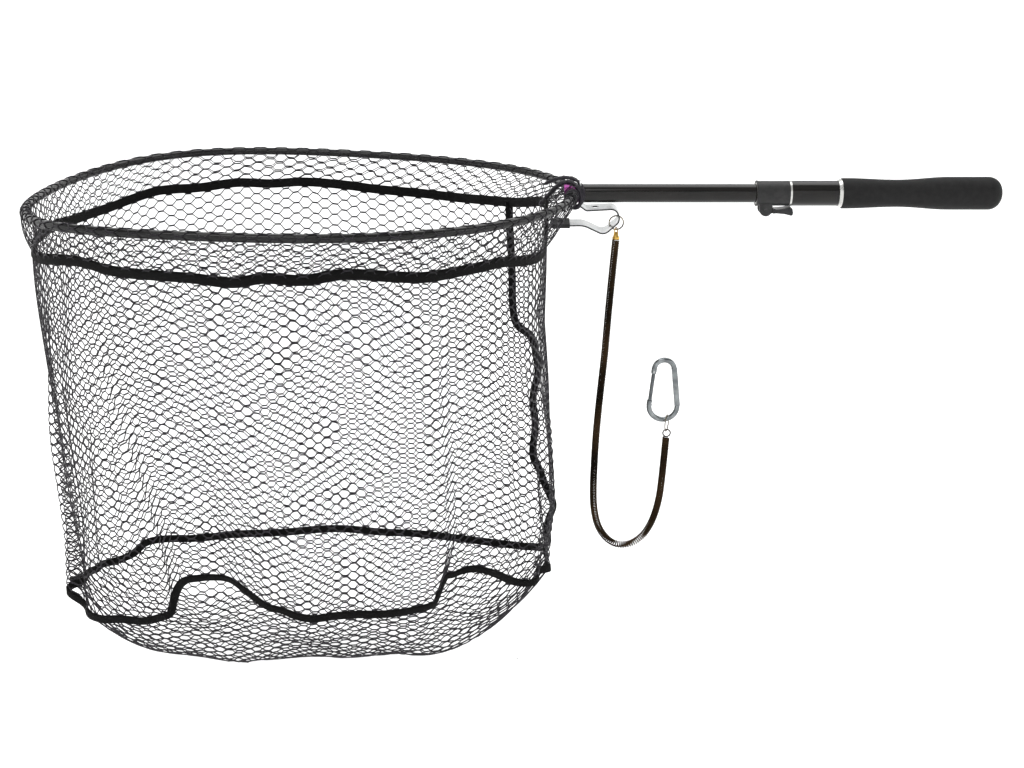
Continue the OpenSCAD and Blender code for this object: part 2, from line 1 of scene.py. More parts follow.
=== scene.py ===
"""Looks for the landing net: netting, tapes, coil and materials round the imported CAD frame.

Lengths are in millimetres up to the point where a mesh is made. Only the camera, the lights,
the floor and the materials use metres. A place round the bag is u, from 0 at the hub over the
-Y side to 0.5 at the hoop's front and back to 1.
"""
import math
import bpy
import numpy as np
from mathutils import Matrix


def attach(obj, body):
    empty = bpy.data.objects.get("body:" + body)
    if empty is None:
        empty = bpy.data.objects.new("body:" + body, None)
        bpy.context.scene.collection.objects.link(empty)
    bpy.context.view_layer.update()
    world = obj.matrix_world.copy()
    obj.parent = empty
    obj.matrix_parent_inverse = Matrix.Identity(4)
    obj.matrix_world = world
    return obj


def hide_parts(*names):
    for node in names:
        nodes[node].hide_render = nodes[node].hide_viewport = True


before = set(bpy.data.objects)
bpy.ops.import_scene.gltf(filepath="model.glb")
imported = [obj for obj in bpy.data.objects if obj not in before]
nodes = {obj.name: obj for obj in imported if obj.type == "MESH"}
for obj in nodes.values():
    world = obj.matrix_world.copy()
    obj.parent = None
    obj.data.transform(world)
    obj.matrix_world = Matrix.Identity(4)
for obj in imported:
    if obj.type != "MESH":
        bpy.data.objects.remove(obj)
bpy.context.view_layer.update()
MM = 0.001
TAU = 2 * math.pi
UP = np.array([0, 0, 1.0])


# ------------------------------------------------------------------ camera, light, floor

CAMERA_PLACE = (-0.456, -1.410, 0.254)
LOOKS_DOWN = 17.85

scene = bpy.context.scene
camera_data = bpy.data.cameras.new("camera")
camera_data.lens = 50
camera_data.sensor_width = 36
camera = bpy.data.objects.new("camera", camera_data)
camera.location = CAMERA_PLACE
camera.rotation_euler = (math.radians(90 - LOOKS_DOWN), 0, 0)
scene.collection.objects.link(camera)
scene.camera = camera
scene.view_settings.view_transform = "Standard"


def area_light(name, place, target, size, power):
    """A rectangular lamp turned towards a target, all in metres"""
    data = bpy.data.lights.new(name, "AREA")
    data.shape = "RECTANGLE"
    data.size, data.size_y = size
    data.energy = power
    lamp = bpy.data.objects.new(name, data)
    lamp.location = place
    aim = target - np.array(place)
    back = -aim / np.linalg.norm(aim)
    lamp.rotation_euler = (math.acos(back[2]), 0, math.atan2(back[0], -back[1]))
    scene.collection.objects.link(lamp)


middle = np.array([-0.45, 0.0, -0.2])
area_light("key", (-1.0, -1.4, 1.9), middle, (1.6, 1.0), 17)
area_light("top", (-0.4, 0.7, 1.6), middle, (2.6, 1.3), 30)
area_light("side", (1.3, -0.9, 0.6), middle, (0.8, 1.2), 3)


def studio_world():
    """White overhead, falling to dark grey at the height of the horizon, as in a studio"""
    world = bpy.data.worlds.new("world")
    scene.world = world
    world.use_nodes = True
    tree = world.node_tree
    coords = tree.nodes.new("ShaderNodeTexCoord")
    split = tree.nodes.new("ShaderNodeSeparateXYZ")
    tree.links.new(coords.outputs["Generated"], split.inputs["Vector"])
    sky = tree.nodes.new("ShaderNodeValToRGB")
    elements = sky.color_ramp.elements
    elements[0].position, elements[0].color = 0.05, (0.10, 0.10, 0.11, 1)
    elements[1].position, elements[1].color = 0.75, (1.0, 1.0, 1.0, 1)
    tree.links.new(split.outputs["Z"], sky.inputs["Fac"])
    tree.links.new(sky.outputs["Color"], tree.nodes["Background"].inputs["Color"])
    tree.nodes["Background"].inputs["Strength"].default_value = 0.55


studio_world()


# ------------------------------------------------------------------ materials

def new_material(name):
    """A material with its node tree and its shader"""
    material = bpy.data.materials.new(name)
    material.use_nodes = True
    tree = material.node_tree
    return material, tree, tree.nodes["Principled BSDF"]


def noise(tree, scale, detail=3.0, stretch=(1, 1, 1)):
    """A noise texture on the object's own coordinates, in metres"""
    coords = tree.nodes.new("ShaderNodeTexCoord")
    mapping = tree.nodes.new("ShaderNodeMapping")
    mapping.inputs["Scale"].default_value = stretch
    texture = tree.nodes.new("ShaderNodeTexNoise")
    texture.inputs["Scale"].default_value = scale
    texture.inputs["Detail"].default_value = detail
    texture.inputs["Roughness"].default_value = 0.55
    tree.links.new(coords.outputs["Object"], mapping.inputs["Vector"])
    tree.links.new(mapping.outputs["Vector"], texture.inputs["Vector"])
    return texture.outputs["Fac"]


def ramp(tree, factor, stops):
    """A colour ramp with (place, colour) stops"""
    node = tree.nodes.new("ShaderNodeValToRGB")
    elements = node.color_ramp.elements
    while len(elements) < len(stops):
        elements.new(0.5)
    for element, (place, colour) in zip(elements, stops):
        element.position = place
        element.color = (*colour, 1)
    tree.links.new(factor, node.inputs["Fac"])
    return node.outputs["Color"]


def spread(tree, factor, low, high, from_low=0.3, from_high=0.7):
    """A value mapped from one range to another, kept inside it"""
    node = tree.nodes.new("ShaderNodeMapRange")
    node.inputs["From Min"].default_value = from_low
    node.inputs["From Max"].default_value = from_high
    node.inputs["To Min"].default_value = low
    node.inputs["To Max"].default_value = high
    tree.links.new(factor, node.inputs["Value"])
    return node.outputs["Result"]


def bump(tree, shader, height, distance):
    """Relief of that depth, in metres, from a height value"""
    node = tree.nodes.new("ShaderNodeBump")
    node.inputs["Distance"].default_value = distance
    tree.links.new(height, node.inputs["Height"])
    tree.links.new(node.outputs["Normal"], shader.inputs["Normal"])


def finish_of(name, dark, light, rough, grain, metallic=0.0, stretch=(1, 1, 1),
              bump_mm=0.02, patch=None, specular=0.5):
    """A surface whose roughness and relief vary with fine noise, and its colour with broader noise.

    Grain and patch are the scales of the two noises per metre.
    """
    material, tree, shader = new_material(name)
    shader.inputs["Metallic"].default_value = metallic
    shader.inputs["Specular IOR Level"].default_value = specular
    fine = noise(tree, grain, 4.0, stretch)
    broad = noise(tree, patch or grain / 12, 2.0)
    tree.links.new(ramp(tree, broad, [(0.35, dark), (0.65, light)]), shader.inputs["Base Color"])
    tree.links.new(spread(tree, fine, *rough), shader.inputs["Roughness"])
    bump(tree, shader, fine, bump_mm * MM)
    return material


hoop_black = finish_of("hoop_black", (0.003, 0.003, 0.003), (0.006, 0.006, 0.006), (0.12, 0.22), 900,
                       bump_mm=0.01, specular=0.28)
tube_black = finish_of("tube_black", (0.003, 0.003, 0.0025), (0.006, 0.005, 0.004), (0.10, 0.18), 700,
                       stretch=(1, 12, 12), bump_mm=0.003, specular=0.3)
black_plastic = finish_of("black_plastic", (0.010, 0.010, 0.010), (0.018, 0.018, 0.018), (0.35, 0.5), 1500)
nylon = finish_of("nylon", (0.62, 0.61, 0.57), (0.70, 0.69, 0.65), (0.4, 0.55), 1200)
textured_plastic = finish_of("textured_plastic", (0.006, 0.006, 0.006), (0.013, 0.013, 0.013), (0.42, 0.6),
                             2600, bump_mm=0.05, specular=0.35)
lever_plastic = finish_of("lever_plastic", (0.005, 0.005, 0.006), (0.010, 0.010, 0.011), (0.28, 0.42), 1800,
                          specular=0.35)
black_rubber = finish_of("black_rubber", (0.006, 0.006, 0.006), (0.014, 0.014, 0.014), (0.5, 0.7), 1400,
                         bump_mm=0.04, specular=0.3)
bright_aluminium = finish_of("bright_aluminium", (0.50, 0.50, 0.48), (0.62, 0.62, 0.60), (0.2, 0.32), 1200,
                             metallic=1.0, stretch=(14, 1, 1), bump_mm=0.006)
clip_steel = finish_of("clip_steel", (0.46, 0.47, 0.47), (0.62, 0.63, 0.63), (0.24, 0.38), 900,
                       metallic=1.0, stretch=(1, 9, 1), bump_mm=0.006)
plain_steel = finish_of("plain_steel", (0.42, 0.42, 0.43), (0.56, 0.56, 0.56), (0.25, 0.4), 1500,
                        metallic=1.0)
dark_steel = finish_of("dark_steel", (0.03, 0.03, 0.03), (0.06, 0.06, 0.06), (0.35, 0.5), 1800,
                       metallic=0.9)
ring_steel = finish_of("ring_steel", (0.05, 0.042, 0.03), (0.22, 0.185, 0.13), (0.14, 0.26), 1500,
                       metallic=1.0, bump_mm=0.004)
carabiner_steel = finish_of("carabiner_steel", (0.11, 0.12, 0.125), (0.23, 0.245, 0.25), (0.10, 0.2), 500,
                            metallic=1.0, bump_mm=0.012, patch=90)
gate_steel = finish_of("gate_steel", (0.06, 0.066, 0.07), (0.13, 0.14, 0.145), (0.2, 0.34), 1100,
                       metallic=1.0, stretch=(5, 5, 1), bump_mm=0.008)
brass_fitting = finish_of("brass_fitting", (0.34, 0.19, 0.04), (0.66, 0.43, 0.11), (0.14, 0.26), 1300,
                          metallic=1.0, bump_mm=0.006)
copper_fitting = finish_of("copper_fitting", (0.010, 0.006, 0.004), (0.030, 0.018, 0.012), (0.35, 0.5),
                           1500, metallic=0.35, specular=0.15, bump_mm=0.006)
coil_bronze = finish_of("coil_bronze", (0.006, 0.004, 0.002), (0.036, 0.021, 0.010), (0.6, 0.78), 700,
                        bump_mm=0.008, patch=22, specular=0.04)
grip_foam = finish_of("grip_foam", (0.006, 0.006, 0.006), (0.009, 0.009, 0.009), (0.6, 0.78), 2200,
                      bump_mm=0.07, patch=200, specular=0.2)
netting = finish_of("netting", (0.003, 0.002, 0.004), (0.010, 0.008, 0.013), (0.4, 0.6), 1100,
                    bump_mm=0.05, patch=45, specular=0.3)
hub_purple = finish_of("hub_purple", (0.10, 0.014, 0.085), (0.24, 0.05, 0.20), (0.26, 0.4), 800,
                       metallic=0.9, bump_mm=0.008, patch=140)


def set_apart(material, output, axis, low, high, colour, metallic):
    """Gives the part of a surface where a coordinate is past a limit another colour"""
    tree = material.node_tree
    shader = tree.nodes["Principled BSDF"]
    coords = tree.nodes.new("ShaderNodeTexCoord")
    split = tree.nodes.new("ShaderNodeSeparateXYZ")
    size = tree.nodes.new("ShaderNodeMath")
    size.operation = "ABSOLUTE"
    tree.links.new(coords.outputs[output], split.inputs["Vector"])
    tree.links.new(split.outputs[axis], size.inputs[0])
    share = spread(tree, size.outputs[0], 0, 1, low, high)
    mix = tree.nodes.new("ShaderNodeMix")
    mix.data_type = "RGBA"
    mix.inputs["B"].default_value = (*colour, 1)
    tree.links.new(share, mix.inputs["Factor"])
    tree.links.new(shader.inputs["Base Color"].links[0].from_socket, mix.inputs["A"])
    tree.links.new(mix.outputs["Result"], shader.inputs["Base Color"])
    tree.links.new(spread(tree, share, *metallic, 0, 1), shader.inputs["Metallic"])


# the hub's two side faces are black, and so are the sheared edges of the clip's strip
set_apart(hub_purple, "Object", "Y", 0.0096, 0.0100, (0.012, 0.012, 0.013), (0.9, 0.2))
set_apart(clip_steel, "Normal", "Y", 0.70, 0.85, (0.025, 0.025, 0.026), (1.0, 0.7))


def woven_tape():
    """Black binding tape: a plain weave of fine yarns over the tape's own length and width"""
    material, tree, shader = new_material("binding_tape")
    uv = tree.nodes.new("ShaderNodeTexCoord")
    waves = []
    for axis, pitch in (("X", 0.55), ("Y", 0.62)):
        wave = tree.nodes.new("ShaderNodeTexWave")
        wave.wave_type = "BANDS"
        wave.bands_direction = axis
        # the UV map is in millimetres; a wave texture's band is 20/scale apart / (2 pi)
        wave.inputs["Scale"].default_value = 20 / TAU / pitch / 2
        wave.inputs["Distortion"].default_value = 0.6
        wave.inputs["Detail Scale"].default_value = 1.5
        tree.links.new(uv.outputs["UV"], wave.inputs["Vector"])
        waves.append(wave.outputs["Fac"])
    weave = tree.nodes.new("ShaderNodeMath")
    weave.operation = "MULTIPLY"
    tree.links.new(waves[0], weave.inputs[0])
    tree.links.new(waves[1], weave.inputs[1])
    fuzz = noise(tree, 1600, 3.0)
    mixed = tree.nodes.new("ShaderNodeMath")
    mixed.operation = "MULTIPLY"
    tree.links.new(weave.outputs[0], mixed.inputs[0])
    tree.links.new(fuzz, mixed.inputs[1])
    stops = [(0.05, (0.001, 0.001, 0.001)), (0.75, (0.007, 0.0067, 0.0065))]
    tree.links.new(ramp(tree, mixed.outputs[0], stops), shader.inputs["Base Color"])
    shader.inputs["Roughness"].default_value = 0.85
    shader.inputs["Specular IOR Level"].default_value = 0.15
    bump(tree, shader, weave.outputs[0], 0.12 * MM)
    return material


binding_tape = woven_tape()

# Nodes that show as they are. Those that a piece replaces need no material
for name, material in (
        ("hub", hub_purple), ("hub_screws", dark_steel), ("hub_stud", plain_steel),
        ("belt_clip", clip_steel), ("clip_sleeve", black_rubber), ("inner_tube", tube_black),
        ("front_plug", black_plastic), ("rear_plug", black_plastic), ("stop_ring", bright_aluminium),
        ("glide_ring", nylon), ("outer_tube", tube_black), ("lock_collar", textured_plastic),
        ("guide_bush", nylon), ("trim_ring_front", bright_aluminium), ("trim_ring_grip", bright_aluminium),
        ("butt_plug", black_plastic), ("lever_pin", dark_steel), ("lock_lever", lever_plastic),
        ("brake_pad", black_rubber), ("link_ring", ring_steel),
        ("carabiner_body", carabiner_steel), ("gate_pin", plain_steel), ("carabiner_gate", gate_steel),
        ("gate_spring", plain_steel)):
    nodes[name].data.materials.clear()
    nodes[name].data.materials.append(material)


# ------------------------------------------------------------------ mesh helpers

def add_piece(name, data, body, material):
    """Adds a mesh or curve that rides a body, in one of the record's material slots"""
    data.materials.append(material)
    piece = bpy.data.objects.new(name, data)
    scene.collection.objects.link(piece)
    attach(piece, body)
    return piece


def mesh_piece(name, points, faces, body, material, uv=None):
    """A smooth mesh from points in millimetres and an array of quads"""
    mesh = bpy.data.meshes.new(name)
    points = np.asarray(points, np.float32) * MM
    faces = np.asarray(faces, np.int32)
    mesh.vertices.add(len(points))
    mesh.vertices.foreach_set("co", points.ravel())
    mesh.loops.add(faces.size)
    mesh.loops.foreach_set("vertex_index", faces.ravel())
    mesh.polygons.add(len(faces))
    mesh.polygons.foreach_set("loop_start", np.arange(0, faces.size, faces.shape[1], dtype=np.int32))
    mesh.update(calc_edges=True)
    mesh.validate()
    if uv is not None:
        layer = mesh.uv_layers.new(name="mm")
        layer.data.foreach_set("uv", np.asarray(uv, np.float32)[faces.ravel()].ravel())
    mesh.polygons.foreach_set("use_smooth", np.ones(len(mesh.polygons), bool))
    return add_piece(name, mesh, body, material)


def unit(v):
    """Vectors along the last axis, scaled to length 1"""
    return v / np.maximum(np.linalg.norm(v, axis=-1, keepdims=True), 1e-9)


def rings_to_faces(rings, sides, closed):
    """Quads between a tube's rings of points, which lie one after another"""
    last = rings if closed else rings - 1
    i, k = np.meshgrid(np.arange(last), np.arange(sides), indexing="ij")
    j, k2 = (i + 1) % rings, (k + 1) % sides
    return np.stack([i * sides + k, j * sides + k, j * sides + k2, i * sides + k2], -1).reshape(-1, 4)


def neighbours(path, closed):
    """The points after and before each point of a path"""
    if closed:
        return np.roll(path, -1, 0), np.roll(path, 1, 0)
    return np.vstack([path[1:], path[-1:]]), np.vstack([path[:1], path[:-1]])


def tube(path, up, radius, sides, closed=False):
    """A tube round a path. Returns its points and faces."""
    path, up = np.asarray(path, float), np.asarray(up, float)
    ahead, behind = neighbours(path, closed)
    along = unit(ahead - behind)
    side = unit(np.cross(along, up))
    top = np.cross(side, along)
    angle = TAU * np.arange(sides) / sides
    radius = np.broadcast_to(radius, (len(path),))[:, None, None]
    points = (path[:, None] + radius * (np.cos(angle)[None, :, None] * side[:, None]
                                        + np.sin(angle)[None, :, None] * top[:, None]))
    return points.reshape(-1, 3), rings_to_faces(len(path), sides, closed)


def joined(parts):
    """Joins (points, faces) pairs into one"""
    points, faces, start = [], [], 0
    for p, f in parts:
        points.append(p)
        faces.append(f + start)
        start += len(p)
    return np.concatenate(points), np.concatenate(faces)


def lathe(profile, steps):
    """A solid of revolution about the X axis from (x, radius) pairs"""
    angle = TAU * np.arange(steps) / steps
    points = [[x, r * math.cos(a), r * math.sin(a)] for x, r in profile for a in angle]
    return np.array(points), rings_to_faces(len(profile), steps, False)


def catmull_rom(a, b, c, d, t):
    """The curve between b and c at share t, with a before them and d after"""
    return 0.5 * (2 * b + (c - a) * t + (2 * a - 5 * b + 4 * c - d) * t ** 2
                  + (3 * b - a - 3 * c + d) * t ** 3)


def smooth_curve(points, per_span):
    """A Catmull-Rom curve through the points"""
    p = np.asarray(points, float)
    out = []
    for i in range(len(p) - 1):
        a, b, c, d = p[max(i - 1, 0)], p[i], p[i + 1], p[min(i + 2, len(p) - 1)]
        out += [catmull_rom(a, b, c, d, k / per_span) for k in range(per_span)]
    out.append(p[-1])
    return np.array(out)


def lengths_along(path):
    """Each point's distance from the start, measured along the path"""
    return np.concatenate([[0], np.cumsum(np.linalg.norm(np.diff(path, axis=0), axis=1))])


def resample_at(path, s, places):
    """The values along a path at these places, where s is each point's own place"""
    return np.stack([np.interp(places, s, path[:, k]) for k in range(path.shape[1])], -1)


def wire(name, path, radius, body, material, closed=False):
    """A round wire as a curve of one spline, through points in millimetres"""
    data = bpy.data.curves.new(name, "CURVE")
    data.dimensions = "3D"
    data.bevel_depth = radius * MM
    data.bevel_resolution = 2
    data.use_fill_caps = True
    spline = data.splines.new("POLY")
    spline.points.add(len(path) - 1)
    spline.points.foreach_set("co", np.hstack([np.asarray(path) * MM, np.ones((len(path), 1))]).ravel())
    spline.use_cyclic_u = closed
    spline.use_smooth = True
    return add_piece(name, data, body, material)


# ------------------------------------------------------------------ lanyard

CLIP_ROLL = math.radians(6)
RING_CENTRE = np.array([-351.0, 0.0, -30.5])
RING_R = 7.2
RING_WIRE, BRASS_WIRE, LOOP_WIRE = 0.58, 0.55, 0.72
LANYARD_Y = -(RING_CENTRE[2] - RING_R) * math.sin(CLIP_ROLL)
LOOP_CENTRE = np.array([-292.8, LANYARD_Y, -255.6])
LOOP_R = 3.9
COIL_R = 3.95
COIL_WIRE = 0.75
COIL_PITCH = 1.76
# how much the pitch grows, in mm, with the route's bend in radians per mm
COIL_OPENING = 15
ROUTE = [(-351, -48), (-354, -85), (-357, -125), (-360, -170), (-364, -215), (-367, -255),
         (-368.5, -290), (-369, -322), (-367.5, -344), (-363, -362), (-355, -375), (-345, -382.5),
         (-335, -384), (-324.5, -381), (-314, -372), (-306.5, -359), (-301.5, -344), (-298, -326),
         (-296, -304), (-294.6, -283), (-293.2, -260.4)]


def coil_path():
    """The helix of the coiled wire round the lanyard's route. Its turns open up where the route bends."""
    route = smooth_curve([(x, LANYARD_Y, z) for x, z in ROUTE], 16)
    total = lengths_along(route)[-1]
    # the route's steps in mm, how many of them its bend is averaged over, and points in one turn
    step, bend_reach, per_turn = 0.1, 300, 13
    s = np.arange(0, total, step)
    line = resample_at(route, lengths_along(route), s)
    along = unit(np.gradient(line, axis=0))
    bend = np.abs(np.gradient(np.unwrap(np.arctan2(along[:, 2], along[:, 0])), step))
    bend = np.convolve(bend, np.ones(bend_reach) / bend_reach, "same")
    phase = np.cumsum(TAU * step / (COIL_PITCH + COIL_OPENING * bend))
    across = np.stack([-along[:, 2], np.zeros(len(s)), along[:, 0]], -1)
    phases = np.arange(phase[0], phase[-1], TAU / per_turn)
    at = np.interp(phases, phase, s)
    centre, side = resample_at(line, s, at), unit(resample_at(across, s, at))
    r = COIL_R - COIL_WIRE
    return centre + r * (np.cos(phases)[:, None] * side + np.sin(phases)[:, None] * np.array([0, 1, 0]))


coil_line = coil_path()
lanyard_coil = wire("lanyard_wire", coil_line, COIL_WIRE, "lanyard", coil_bronze)
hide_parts("lanyard_coil")


def in_clip_frame(points):
    """Points rolled about the handle's axis with the belt clip"""
    p = np.asarray(points, float)
    c, s = math.cos(CLIP_ROLL), math.sin(CLIP_ROLL)
    return np.stack([p[:, 0], p[:, 1] * c - p[:, 2] * s, p[:, 1] * s + p[:, 2] * c], -1)


def split_ring():
    """Two turns of wire side by side, whose ends lie on the ring like a key ring's"""
    turns = np.linspace(0, 2 * TAU, 160)
    shift = np.clip((turns - TAU * 0.92) / (TAU * 0.16), 0, 1)
    y = 0.5 - (3 * shift ** 2 - 2 * shift ** 3)
    cut_angle = 2.2
    a = turns + cut_angle
    line = RING_CENTRE + np.stack([RING_R * np.cos(a), y, RING_R * np.sin(a)], -1)
    piece = wire("split_ring_wire", in_clip_frame(line), RING_WIRE, "lanyard", ring_steel)
    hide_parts("split_ring")


split_ring()


def brass_loop():
    """A three-cornered wire loop over the split ring, closed by a turned cap"""
    turn = math.radians(50)
    ring_low = RING_CENTRE[2] - RING_R
    cap_top = -44.6
    corners = [(0, ring_low + 2.5), (1.9, ring_low + 0.6), (3.3, cap_top + 1.2), (2.6, cap_top - 0.6),
               (-2.6, cap_top - 0.6), (-3.3, cap_top + 1.2), (-1.9, ring_low + 0.6), (0, ring_low + 2.5)]
    flat = smooth_curve(corners, 6)[:-1]
    line = np.stack([RING_CENTRE[0] + flat[:, 0] * math.cos(turn),
                     LANYARD_Y + flat[:, 0] * math.sin(turn), flat[:, 1]], -1)
    loop = wire("lanyard_loop", line, BRASS_WIRE, "lanyard", brass_fitting, closed=True)
    profile = [(-4.6, 0.01), (-4.6, 0.9), (-4.3, 1.2), (-0.4, 2.75), (0, 3.2), (0.5, 3.6), (1.1, 3.7),
               (1.35, 3.45), (1.6, 3.7), (2.4, 3.7), (2.65, 3.45), (2.9, 3.2), (2.9, 0.01)]
    points, faces = lathe(profile, 40)
    placed = np.stack([RING_CENTRE[0] + points[:, 1], LANYARD_Y + points[:, 2], cap_top - points[:, 0]], -1)
    cap = mesh_piece("lanyard_cap", placed, faces, "lanyard", brass_fitting)
    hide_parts("upper_loop")
    return loop, cap


def lower_ring():
    """The dark wire loop at the lanyard's lower end"""
    a = TAU * np.arange(48) / 48
    line = LOOP_CENTRE + LOOP_R * np.stack([np.cos(a), 0 * a, np.sin(a)], -1)
    piece = wire("lanyard_lower_loop", line, LOOP_WIRE, "lanyard", copper_fitting,
                 closed=True)
    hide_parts("lower_loop")
    return piece


upper_pieces = brass_loop()
lower_ring()


# ------------------------------------------------------------------ the bag's surface

HOOP_X0, HOOP_LEN, HOOP_WIDTH, HOOP_RISE, HOOP_R = -396.0, 527.0, 472.0, 7.2, 4.0
COLLAR_DEPTH, BAG_DEPTH, BASE_SAG, BASE_WIDTH = 40.0, 410.0, 76.0, 212.0
# The bag's outline at its levels: z, front x, hub end x, width and how square its corners are, 0 to 1
LEVELS = np.array([
    [-4.7, -922, -405.5, HOOP_WIDTH - 2, 0],
    [-25, -921, -421, HOOP_WIDTH - 14, 0.05],
    [-COLLAR_DEPTH, -919, -423, HOOP_WIDTH - 26, 0.1],
    [-150, -921, -424, HOOP_WIDTH - 92, 0.35],
    [-270, -919, -416, BASE_WIDTH + 84, 0.65],
    [-350, -918, -411, BASE_WIDTH + 36, 0.85],
    [-BAG_DEPTH, -921, -418, BASE_WIDTH, 1]])
# Meshes round the bag, down the wall and across the collar's doubled band
COLS, ROWS, COLLAR_ROWS = 152, 34, 9
# Steps of a surface grid round the bag, and rows of it to a mesh on the wall and the collar
GRID, FINE, COLLAR_FINE = 640, 4, 6
U = np.arange(GRID) / GRID
FROM_HUB = (U + 0.5) % 1 - 0.5


def column_place(c, bunching):
    """A column's place along the surface grid, with the columns drawn together at the hub"""
    crowding = 1 + 0.10 * np.sin(TAU * U) + bunching * np.exp(-(FROM_HUB / 0.022) ** 2)
    share = np.concatenate([[0], np.cumsum(crowding)]) / crowding.sum()
    turns = np.floor(c / COLS)
    return turns * GRID + np.interp(c / COLS - turns, share, np.arange(GRID + 1))


def side_shape(a):
    """The hoop's half width at angle a from the hub, as a share of its greatest"""
    return np.sin(a) * (257 - 39 * np.cos(a) + 22 * np.cos(2 * a) - 6 * np.cos(3 * a)) / 235


def arch(a):
    """How high the hoop's tube rises at angle a from the hub"""
    u, crest = (1 - np.cos(a)) / 2, 0.75
    return HOOP_RISE * (u / crest) ** 3 * (1 - u) / (1 - crest)


def soft_power(v, e):
    """A power that keeps the sign"""
    return np.sign(v) * np.abs(v) ** e


# The lower this power, the squarer the outline's corners get
SQUARING = 0.55


def outline(level):
    """The bag's outline at a level, at equal steps of u"""
    a = np.linspace(0, TAU, 2881)
    half = np.minimum(a, TAU - a)
    side = np.where(a <= math.pi, -1, 1)
    ux, uq = (1 - np.cos(half)) / 2, (1 - soft_power(np.cos(half), SQUARING)) / 2
    vy, vq = side_shape(half), soft_power(np.sin(half), SQUARING)
    x = level[2] + (level[1] - level[2]) * (ux + (uq - ux) * level[4])
    y = side * level[3] / 2 * (vy + (vq - vy) * level[4])
    path = np.stack([x, y, arch(half)], -1)
    s = lengths_along(path[:, :2])
    return resample_at(path, s, s[-1] * np.arange(GRID) / GRID)


def level_at(z):
    """The outline's values at a height between two levels"""
    return np.array([np.interp(-z, -LEVELS[:, 0], LEVELS[:, k]) for k in range(5)])


def knots(pairs, u):
    """A smooth periodic curve through (u, value) pairs"""
    p = np.array(sorted(pairs), float)
    x = np.concatenate([p[-3:, 0] - 1, p[:, 0], p[:3, 0] + 1])
    y = np.concatenate([p[-3:, 1], p[:, 1], p[:3, 1]])
    slope = np.gradient(y, x)
    # flatter slopes at crests and troughs, so that the curve doesn't overshoot them
    inner = (y[2:] - y[1:-1]) * (y[1:-1] - y[:-2]) <= 0
    slope[1:-1] = np.where(inner, slope[1:-1] * 0.3, slope[1:-1])
    k = np.clip(np.searchsorted(x, u) - 1, 0, len(x) - 2)
    h = x[k + 1] - x[k]
    t = (u - x[k]) / h
    return ((2 * t ** 3 - 3 * t ** 2 + 1) * y[k] + (t ** 3 - 2 * t ** 2 + t) * h * slope[k]
            + (3 * t ** 2 - 2 * t ** 3) * y[k + 1] + (t ** 3 - t ** 2) * h * slope[k + 1])


# How high each tape rides over its nominal depth, in mm, round the bag
TOP_WAVE = [
    (0.0, 22), (0.011, 6), (0.023, -7), (0.034, -11), (0.068, -6), (0.095, 0), (0.122, 0), (0.149, -1),
    (0.170, 3), (0.198, 8), (0.221, 4), (0.242, 7), (0.258, 3), (0.281, 7), (0.305, 9), (0.331, 11),
    (0.352, 16), (0.370, 14), (0.393, 9), (0.43, 6), (0.50, 6), (0.548, 1), (0.58, 1), (0.612, 6),
    (0.632, 10), (0.66, 9), (0.693, 13), (0.715, 11), (0.738, 13), (0.77, 10), (0.795, 6), (0.83, 4),
    (0.86, 3), (0.89, 5), (0.924, 10), (0.949, 17), (0.975, 24)]
BASE_WAVE = [
    (0.0, 8), (0.025, 12), (0.052, 18), (0.062, 13), (0.078, 20), (0.096, 33), (0.112, 40),
    (0.129, 34), (0.1365, 31), (0.1380, 24), (0.1396, 12), (0.1412, 6), (0.146, 2), (0.153, -1),
    (0.165, -4), (0.185, -7), (0.206, -7), (0.225, -9), (0.241, -12), (0.254, -9), (0.264, -3),
    (0.279, 3), (0.290, 16), (0.302, 29), (0.315, 34), (0.331, 33), (0.346, 26), (0.3500, 19),
    (0.3516, 8), (0.3532, -4), (0.358, -9), (0.366, -13), (0.380, -18), (0.398, -18), (0.417, -22),
    (0.436, -20), (0.451, -8), (0.463, 0), (0.48, -8), (0.511, -17), (0.535, -24), (0.556, -28),
    (0.572, -26), (0.583, -16), (0.60, -13), (0.625, -15), (0.676, -11), (0.704, -10), (0.733, -7),
    (0.76, -5), (0.797, -9), (0.833, -11), (0.87, -15), (0.90, -17), (0.93, -15), (0.97, 0)]


def smoothed(field, passes):
    """A closed row of values, each blended with its neighbours that many times"""
    for _ in range(passes):
        field = (np.roll(field, 1, 0) + 2 * field + np.roll(field, -1, 0)) / 4
    return field


top_z = -COLLAR_DEPTH + smoothed(knots(TOP_WAVE, U), 6)
base_z = -BAG_DEPTH + 5 + smoothed(knots(BASE_WAVE, U), 2)


def ripple(u, f, seed, waves=9):
    """A gentle uneven field over the bag, between about -1 and 1, with no seam where it closes"""
    local = np.random.default_rng(seed)
    total = np.zeros(np.broadcast(u, f).shape)
    for _ in range(waves):
        around, down = local.integers(3, 22), local.uniform(0.3, 2.2)
        start = TAU * (around * u + local.uniform())
        sway = 1.5 * np.sin(math.pi * down * f + TAU * local.uniform())
        total += np.sin(start + sway + math.pi * down * f) / math.sqrt(around / 4)
    return total / 3.2


RIPPLE_HEIGHT = 4.0
